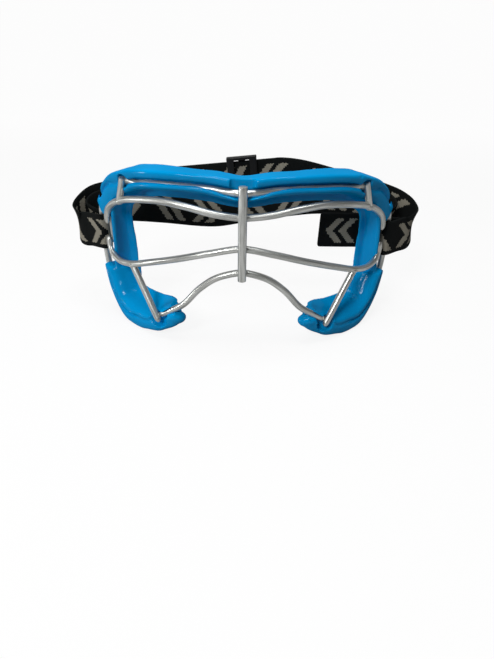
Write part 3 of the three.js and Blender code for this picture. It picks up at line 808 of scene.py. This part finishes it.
def browOutline(spot):  # the brow's section, as places above the wire and before it
    g = gasket
    outer = g["browOuter"] * tableAt(g["browOuterAt"], spot)
    inner = g["browInner"] * tableAt(g["browInnerAt"], spot)
    rise = g["browTopRise"] * tableAt(g["browRiseAt"], spot)
    groove, seam = g["groove"] * tableAt(g["grooveAt"], spot), tableAt(g["browSeamAt"], spot)
    low, high, floor = seam - groove, seam + groove, tableAt(g["browFloorAt"], spot)
    front, back, soft, edge = g["lipFront"], -g["browDepth"], g["lipRound"], g["lipEdge"]
    tip = -inner - g["browFlange"] * tableAt(g["browFlangeAt"], spot)
    shelf = back + g["browFlangeThickness"]
    return softened([
        (high, front - edge * 2), (high + edge, front - edge / 2),
        ((high + outer) / 2, front + 0.3), (outer - g["ridge"], front), (outer, front - g["ridge"]),
        (outer + rise * 0.7, back / 2), (outer + rise, back + soft), (outer + rise - soft, back),
        (0, back), (tip + soft / 2, back), (tip, back + soft / 2), (tip, shelf),
        (-inner + soft / 2, shelf + soft / 2), (-inner, -soft), (-inner, front - soft * 1.4),
        (-inner + soft, front - soft / 3), ((low - inner) / 2, front + 0.4),
        (low - edge, front), (low, front - edge), (low, floor), (high, floor),
    ])


def domedRing(ring, toEnd, end):  # draws a section in towards its middle where a moulding ends
    first, reach = end
    middle = np.mean(ring, axis=0)
    return [middle + (p - middle) * dome(toEnd + first, reach, least=0.01) for p in ring]


def browLoft(route):
    rings = []
    for share in np.linspace(0, 1, gasket["browRings"]):
        spot = abs(2 * share - 1)
        point, along, front, out = frameOn(route, share)
        point = point + out * tableAt(gasket["browAsideAt"], spot)
        ring = [point + out * o + front * f for o, f in browOutline(spot)]
        toEnd = min(share, 1 - share) * route.length
        rings.append(domedRing(ring, toEnd, gasket["browEnd"]))
    return loft("brow", rings)


def byPlace(route, t):  # a point at a share of a route's places, not of its length
    k = min(max(t, 0.0), 1.0) * (len(route.dense) - 1)
    return np.array([np.interp(k, range(len(route.dense)), route.dense[:, c]) for c in range(3)])


cheekRoute, *wallRoutes = [Route([place(share) for share in gasket[key]])
                           for key in ("cheekRoute", "wallFront", "wallFace")]


def wallFrame(t, side):  # the wall's front and face edges there, its directions and its rim
    aside = np.array([tableAt(gasket["rightAsideAt"], t) if side > 0 else 0.0, 0, 0])
    a, b = [byPlace(route, t) + aside for route in wallRoutes]
    tangent = unit(byPlace(wallRoutes[0], t + 0.004) - byPlace(wallRoutes[0], t - 0.004))
    across = unit(b - a)
    inward = unit(np.cross(across, tangent))
    rimWay = unit(across * gasket["rimLean"] + inward)
    rimBack = unit(across - inward * gasket["rimLean"])
    rim = b + rimWay * gasket["rimReach"] * tableAt(gasket["rimAt"], t)
    return a, b, across, inward, rimWay, rimBack, rim


def wallLoft(side):  # down the temple, hollow between its front edge and its rim
    half, thin = gasket["wall"] / 2, gasket["rim"] / 2
    rings = []
    for t in np.linspace(0, gasket["wallEnd"], gasket["wallRings"]):
        a, b, across, inward, rimWay, rimBack, rim = wallFrame(t, side)
        middle, thick, over = (a + b) / 2, inward * half, across * half
        ring = softened([
            a + thick * 1.1, a + across * 2.2 + thick * 0.7,
            middle + inward * (half - gasket["wallHollow"]),
            b + thick * 0.4 - over * 0.9, b + thick - over * 0.9,
            rim - rimBack * thin - rimWay * 0.4, rim + rimWay * thin * 0.7,
            rim + rimBack * thin - rimWay * 0.4, b + over + thick, b + over - thick * 0.5,
            b - thick, middle - thick, a - thick, a - over,
        ])
        rings.append([onSide(p, side) for p in ring])
    return loft("wall", rings)


def cheekLoft(side):  # the outer lip, the groove and the pad's surface from it to the rim
    g = gasket
    front, depth, soft, lip = g["lipFront"], g["cheekDepth"], g["lipRound"], g["lipEdge"]
    rings = []
    for share in np.linspace(0, 1, g["cheekRings"]):
        point, along, ahead, out = frameOn(cheekRoute, share)
        wallSpot = g["cheekStart"] + (1 - g["cheekStart"]) * share
        *_, rimWay, rimBack, rim = wallFrame(wallSpot, side)
        at = lambda o, f: point + out * o + ahead * f
        outer = g["cheekOuter"] * tableAt(g["cheekOuterAt"], share)
        groove = g["groove"] * tableAt(g["cheekGrooveAt"], share)
        seam, floor = tableAt(g["cheekSeamAt"], share), tableAt(g["cheekFloorAt"], share)
        low, high = seam - groove, seam + groove
        edge, back, under = at(low - lip, front), at(-soft, -depth), rim + rimBack * g["cheekBack"]
        swellWay = unit(ahead + [0.0, -1.0, 0.0]) * tableAt(g["cheekBulgeAt"], share)
        pad = [edge + (rim - edge) * k + swellWay * swell for k, swell in g["padSurface"]]
        ring = softened([
            at(high, front - lip), at(high + lip, front), at((outer + high) / 2, front),
            at(outer - soft, front - soft / 2), at(outer, front - soft * 2),
            at(outer - soft * 0.6, -depth / 2), at(soft, -depth), back, (back + under) / 2, under,
            rim + rimBack * 1.2 + rimWay * 0.4, rim, *pad[::-1], edge,
            at(low, front - lip), at(low, floor), at(high, floor),
        ])
        toEnd = min(share, 1 - share) * cheekRoute.length
        ring = domedRing(ring, toEnd, g["cheekEnd"])
        rings.append([onSide(p, side) for p in ring])
    return loft("cheek", rings)


def ball(centre, sizes, power=2):  # a higher power squares the ball up
    def build(bm):
        bmesh.ops.create_uvsphere(bm, u_segments=48, v_segments=30, radius=1.0)
        for vert in bm.verts:
            vert.co /= sum(abs(c) ** power for c in vert.co) ** (1 / power)
        bmesh.ops.scale(bm, vec=Vector(sizes) / 1000, verts=bm.verts)
        bmesh.ops.translate(bm, vec=Vector(toWorld(centre)), verts=bm.verts)
    return edited(linked("ball", bpy.data.meshes.new("ball")), build)


def rod(a, b, radius):
    along = unit(b - a)
    u = unit(np.cross(along, [0.3, 1.0, 0.2]))
    v = np.cross(along, u)
    angles = np.linspace(0, 2 * math.pi, 33)[:-1]
    ring = [u * radius * math.cos(t) + v * radius * math.sin(t) for t in angles]
    return loft("rod", [[p + q for q in ring] for p in (a, b)])


def remeshed(obj, rounds=0):  # one skin over all that overlaps, with its edges softened
    modified(obj, "REMESH", mode="VOXEL", voxel_size=gasket["voxel"])
    if rounds:
        modified(obj, "SMOOTH", factor=0.5, iterations=rounds)
    return applied(obj)


browMiddle = place(cage["outer"][0])
recessAt = browMiddle + [0, -gasket["lipFront"], gasket["recessUp"]]
cutters = [ball(recessAt, gasket["recess"], gasket["recessPower"])]
for side in (-1, 1):
    post, strut = barEnds("post", side), barEnds("strut", side)
    ahead, up = frontAt(post[0][0]), np.array([0, 0, gasket["notchUp"]])
    aside = unit(np.array([-ahead[1] * side, abs(ahead[0]), 0]))
    notch = post[0] + ahead * gasket["notchAhead"] + up - aside * gasket["notchIn"]
    dent = post[0] + ahead * gasket["dentAhead"] + up + aside * gasket["dentOut"]
    cutters += [
        rod(*post, gasket["postRoom"]),
        ball(notch, gasket["notch"], gasket["notchPower"]),
        ball(dent, gasket["dent"]),
        ball(strut[1], gasket["pocket"]),
        rod(*strut, cage["strut"][2] + gasket["strutRoom"]),
    ]
browRoute = fullRoute(cage["outer"][:cage["browRow"] + 1])
share, up, ahead = gasket["markAt"]
point, along, front, out = frameOn(browRoute, share)
cutters.append(ball(point + out * up + front * ahead, (gasket["mark"],) * 3))

lofts = [browLoft(browRoute)]
point, along, front, out = frameOn(cheekRoute, gasket["lobeBack"])
lobe = point + out * gasket["lobeDown"] - front
for side in (-1, 1):
    lofts += [wallLoft(side), cheekLoft(side), ball(onSide(lobe, side), gasket["lobe"])]


def joined(bm):
    for piece in lofts:
        bm.from_mesh(piece.data)


def standing(bm):  # the feet are drawn down to the table and stay flat on it
    lift = min(vert.co.z for vert in bm.verts) + gasket["footPress"] / 1000
    for vert in bm.verts:
        drawn = vert.co.z - lift * (1 - smoothStep(vert.co.z, 0, gasket["footReach"] / 1000))
        vert.co.z = max(drawn, 0.0)


gasketSkin = remeshed(edited(linked("gasketSkin", bpy.data.meshes.new("gasketSkin")), joined))
for cutter in cutters:
    modified(gasketSkin, "BOOLEAN", operation="DIFFERENCE", solver="EXACT", object=cutter)
applied(gasketSkin)
for helper in lofts + cutters:
    bpy.data.objects.remove(helper)
shadeSmooth(edited(remeshed(gasketSkin, gasket["smoothing"]), standing))
gasketSkin.data.materials.clear()
gasketSkin.data.materials.append(gasketBlue)
shown(gasketSkin, "goggles", "gasket_blue", "face_gasket")
print("gasket made")

# The strap: one band, round the outer wire at both temples
strap = {
    "width": 24.0,
    "thickness": 1.5,
    "loopReach": 24.6,
    "backReach": 34.32,
    "midHeight": 76.0,
    "turnRadius": 3.75,
    "turnHeight": 0.745,
    "turnAngles": [-50, -90, -135, -180, -225],
    "hem": (12.5, 2.5, 0.0),
    "corner": 1.6,
    "stitch": 2.0,
    "stitchShare": 0.42,
    "thread": 0.32,
    "seamEnds": (2.2, 10.0),
    "seamHalf": 9.5,
    "seamSteps": 8,
    "outer": [
        (0.31, 0.991, 1.14), (0.57, 0.962, 1.045), (0.7, 0.92, 1), (0.79, 0.842, 0.965),
        (0.875, 0.718, 0.925), (0.933, 0.545, 0.875), (0.957, 0.35, 0.815), (0.93, 0.179, 0.762),
        (0.877, 0.077, 0.75),
    ],
    "run": [(-0.5, 1, 1.036), (0.2, 1, 1.154)],
    "runSteps": [0, 0.05, 0.5, 0.95, 1],
    "leftLoop": [
        (0.6, 0.982, 0.988), (0.71, 0.945, 0.953), (0.815, 0.872, 0.92), (0.89, 0.769, 0.893),
        (0.94, 0.59, 0.843), (0.966, 0.385, 0.778), (0.942, 0.192, 0.727), (0.882, 0.077, 0.735),
    ],
    "innerLeft": [(0.8, 0.141, 0.747), (0.865, 0.256, 0.765), (0.892, 0.423, 0.805),
                  (0.865, 0.59, 0.85), (0.78, 0.705, 0.876)],
    "innerBack": [
        (-0.68, 0.731, 0.878), (-0.5, 0.731, 0.868), (-0.19, 0.731, 0.842), (-0.04, 0.731, 0.882),
        (0.275, 0.731, 0.966), (0.42, 0.731, 0.99), (0.6, 0.723, 0.985), (0.74, 0.654, 0.945),
        (0.815, 0.513, 0.9), (0.835, 0.359, 0.855), (0.8, 0.231, 0.81), (0.72, 0.141, 0.782),
        (0.6, 0.103, 0.78), (0.42, 0.051, 0.785),
    ],
}
strapWire = place(cage["outer"][cage["strapRow"]])


def strapPlace(share, side=1):
    x = share[0] * (strapWire[0] + strap["loopReach"])
    y = strapWire[1] + share[1] * strap["backReach"]
    return onSide((x, y, share[2] * strap["midHeight"]), side)


def templeTurn(side):  # the band's turn round the outer wire at a temple
    radius, height = strap["turnRadius"], strap["turnHeight"] * strap["midHeight"]
    return [onSide((strapWire[0] + radius * math.cos(angle),
                    strapWire[1] + radius * math.sin(angle), height), side)
            for angle in np.radians(strap["turnAngles"])]


rightTurn = templeTurn(1)
leftEnd, rightEnd = [strapPlace(s) for s in strap["run"]]
band = Route([
    rightTurn[-1] + strap["hem"], *rightTurn[::-1],
    *[strapPlace(s) for s in strap["outer"][::-1]],
    *[rightEnd + (leftEnd - rightEnd) * t for t in strap["runSteps"]],
    *[strapPlace(s, -1) for s in strap["leftLoop"]], *templeTurn(-1),
    *[strapPlace(s, -1) for s in strap["innerLeft"]], *[strapPlace(s) for s in strap["innerBack"]],
], perSpan=8)


def bandSection(half, thick):  # a flat section with round selvedges: across, through
    top = [(v, thick) for v in np.linspace(-half + thick, half - thick, 9)]
    angles = np.linspace(0.5, 2.64, 4)
    edge = [(half - thick + thick * math.sin(a), thick * math.cos(a)) for a in angles]
    return [*top, *edge, *[(-a, -b) for a, b in top], *[(-a, -b) for a, b in edge]]


def bandFrame(run):  # a point of the band, its way along, its thickness and its width
    share = run / band.length
    along = band.along(share)
    aside = unit(np.array([along[1], -along[0], 0.0]))
    return band.at(share), along, aside, np.cross(aside, along)


section = bandSection(strap["width"] / 2, strap["thickness"] / 2)
corner = strap["corner"]
close = corner * (1 - np.cos(np.linspace(0, math.pi / 2, 6)))
middle = band.run[(band.run > corner) & (band.run < band.length - corner)]
rings, places = [], []
for run in np.unique(np.concatenate([close, middle, band.length - close])):
    point, along, aside, rise = bandFrame(run)
    short = corner - min(run, band.length - run, corner)
    narrow = 1 - (corner - math.sqrt(corner ** 2 - short ** 2)) / (strap["width"] / 2)
    rings.append([point + rise * v * narrow + aside * w for v, w in section])
    places += [(run, v, w) for v, w in section]
strapBand = shadeSmooth(loft("strapBand", rings, bandPlace=places), angle=60)
strapBand.data.materials.append(strapWeb)
shown(strapBand, "goggles", "strap_webbing", "strap_outer_layer", "strap_inner_layer")


def stitchTree():  # threads of one length laid along a seam's path
    g, given = geometryTree("stitches", Pitch=0.002, Thread=0.0003)
    curve = g.add("GeometryNodeMeshToCurve", {0: given["Geometry"]})
    spots = g.add("GeometryNodeResampleCurve", {"Curve": curve, "Length": given["Pitch"]},
                  mode="LENGTH")
    ball = g.add("GeometryNodeMeshIcoSphere", {"Radius": 1.0, "Subdivisions": 2})
    turned = g.add("FunctionNodeAlignRotationToVector",
                   {"Vector": g.add("GeometryNodeInputTangent")}, axis="X")
    sizes = g.add("ShaderNodeCombineXYZ", {
        0: given["Pitch"] * strap["stitchShare"], 1: given["Thread"], 2: given["Thread"]})
    laid = g.add("GeometryNodeInstanceOnPoints", {
        "Points": spots, "Instance": ball, "Rotation": turned, "Scale": sizes})
    return closeTree(g, laid, given["Paint"])


seamPoints, seamEdges = [], []
start, end = strap["seamEnds"]
boxSeam = [(start, 1), (end, 1), (end, -1), (start, -1), (start, 1), (end, -1)]
for layer in (-1, 1):
    for (run0, v0), (run1, v1) in zip(boxSeam, boxSeam[1:]):
        first = len(seamPoints)
        for t in np.linspace(0, 1, strap["seamSteps"] + 1):
            point, along, aside, rise = bandFrame(run0 + (run1 - run0) * t)
            across = rise * (v0 + (v1 - v0) * t) * strap["seamHalf"]
            seamPoints.append(point + across + aside * layer * strap["thickness"] / 2)
        seamEdges += [(first + i, first + i + 1) for i in range(strap["seamSteps"])]
hemStitches = meshObject("hemStitches", seamPoints, edges=seamEdges)
runTree(hemStitches, stitchTree(), Pitch=strap["stitch"] / 1000, Thread=strap["thread"] / 1000,
        Paint=strapThread)
shown(hemStitches, "goggles", "strap_webbing")
print("strap made")

# The slide, from its solid with the edges rounded as moulded plastic is
slide = {"sameSpot": 0.00001, "flatAngle": 2, "edge": 0.00045}
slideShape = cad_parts["strap_slide"].data.copy()
slideShape.materials.clear()
slideShape.materials.append(slidePlastic)


def cleaned(bm):
    bmesh.ops.remove_doubles(bm, verts=bm.verts, dist=slide["sameSpot"])
    bmesh.ops.dissolve_limit(bm, angle_limit=math.radians(slide["flatAngle"]),
                             verts=bm.verts, edges=bm.edges)


slideBody = edited(linked("slideBody", slideShape), cleaned)
shadeSmooth(bevelled(slideBody, slide["edge"], segments=3, angle=40), angle=35)
shown(slideBody, "slide", "slide_plastic", "strap_slide")
print("slide made")

# The stage, the camera and the lights
view = {
    "lens": 495 / 659 * 36,
    "place": (0.00629, -0.2682 - 0.041725, 0.1736 - 0.0006),
    "pitch": 30.98,
    "yaw": -0.58,
    "roll": 1.17,
}
stage = {
    "grey": 0.25,
    "white": 0.95,
    "seen": 0.88,  # the share of plain white that the camera sees near the object
    "far": (0.15, 0.9),  # how far behind the object the shadow fades out
    "farShare": 0.09,
    "glossy": 0.4,
    "halfWidth": 3.0,
    "front": -2.5,
    "bend": (1.4, 0.6),  # where the floor turns up, and its radius
    "height": 3.0,
    "world": 0.11,
}
lamps = {  # place, target, size and power
    "softboxFront": ((-0.42, -0.85, 0.75), (0, 0, 0.05), 0.3, 5.8),
    "softboxTop": ((0.0, -0.05, 1.1), (0, 0, 0.05), 0.5, 7.0),
    "windowLeft": ((-1.0, -0.2, 0.12), (0, 0, 0.06), 0.14, 2.3),
}


def stageNodes(g):
    path = g.add("ShaderNodeLightPath", out="Is Camera Ray")
    glossy = Sock(g, g.last.outputs["Is Glossy Ray"])
    colour = g.mix((stage["grey"],) * 3, (stage["white"],) * 3, path)
    plain = g.add("ShaderNodeBsdfDiffuse", {"Color": colour})
    white = g.add("ShaderNodeEmission", {"Color": (1, 1, 1, 1), "Strength": 1.0})
    far = g.split(objectPlace(g))[1].ease(*stage["far"]) * stage["farShare"]
    factor = path * (far + stage["seen"]) + glossy * stage["glossy"]
    mixed = g.add("ShaderNodeMixShader", {0: factor, 1: plain, 2: white})
    g.feed(g.tree.nodes["Material Output"].inputs["Surface"], mixed)
    return {}


bendAt, bendRadius = stage["bend"]
profile = [(stage["front"], 0.0)]
for angle in np.linspace(0, math.pi / 2, 12):
    profile.append((bendAt + bendRadius * math.sin(angle), bendRadius * (1 - math.cos(angle))))
profile.append((bendAt + bendRadius, stage["height"]))
points = [(x, y, z) for y, z in profile for x in (-stage["halfWidth"], stage["halfWidth"])]
strips = [(i, i + 1, i + 3, i + 2) for i in range(0, 2 * len(profile) - 2, 2)]
sweep = bpy.data.meshes.new("studioSweep")
sweep.from_pydata(points, [], strips)
sweep.materials.append(finish("stageWhite", stageNodes))
studioSweep = shadeSmooth(linked("studioSweep", sweep))

pitch, yaw, roll = [math.radians(view[key]) for key in ("pitch", "yaw", "roll")]
ahead = Vector((math.sin(yaw) * math.cos(pitch), math.cos(yaw) * math.cos(pitch), -math.sin(pitch)))
right = ahead.cross(Vector((0, 0, 1))).normalized()
up = right.cross(ahead)
right, up = (right * math.cos(roll) + up * math.sin(roll),
             up * math.cos(roll) - right * math.sin(roll))
turned = Matrix((right, up, -ahead)).transposed().to_4x4()
camera = linked("camera", bpy.data.cameras.new("camera"))
camera.data.lens, camera.data.sensor_width, camera.data.sensor_fit = view["lens"], 36, "AUTO"
camera.data.clip_start = 0.01
camera.matrix_world = Matrix.Translation(view["place"]) @ turned
scene.camera = camera

for name, (at, target, size, power) in lamps.items():
    lamp = linked(name, bpy.data.lights.new(name, "AREA"))
    lamp.data.shape, lamp.data.size, lamp.data.energy = "SQUARE", size, power
    lamp.location = at
    lamp.rotation_mode = "QUATERNION"
    lamp.rotation_quaternion = (Vector(target) - Vector(at)).to_track_quat("-Z", "Y")

world = scene.world = scene.world or bpy.data.worlds.new("studio")
world.use_nodes = True
sky = Graph(world.node_tree)
sky.tree.nodes.clear()
path = sky.add("ShaderNodeLightPath", out="Is Camera Ray")
dim, full = [sky.add("ShaderNodeBackground", {"Color": (1, 1, 1, 1), "Strength": strength})
             for strength in (stage["world"], 1.0)]
mixed = sky.add("ShaderNodeMixShader", {0: path, 1: dim, 2: full})
sky.add("ShaderNodeOutputWorld", {0: mixed})
scene.view_settings.view_transform = "Standard"

print("scene made")
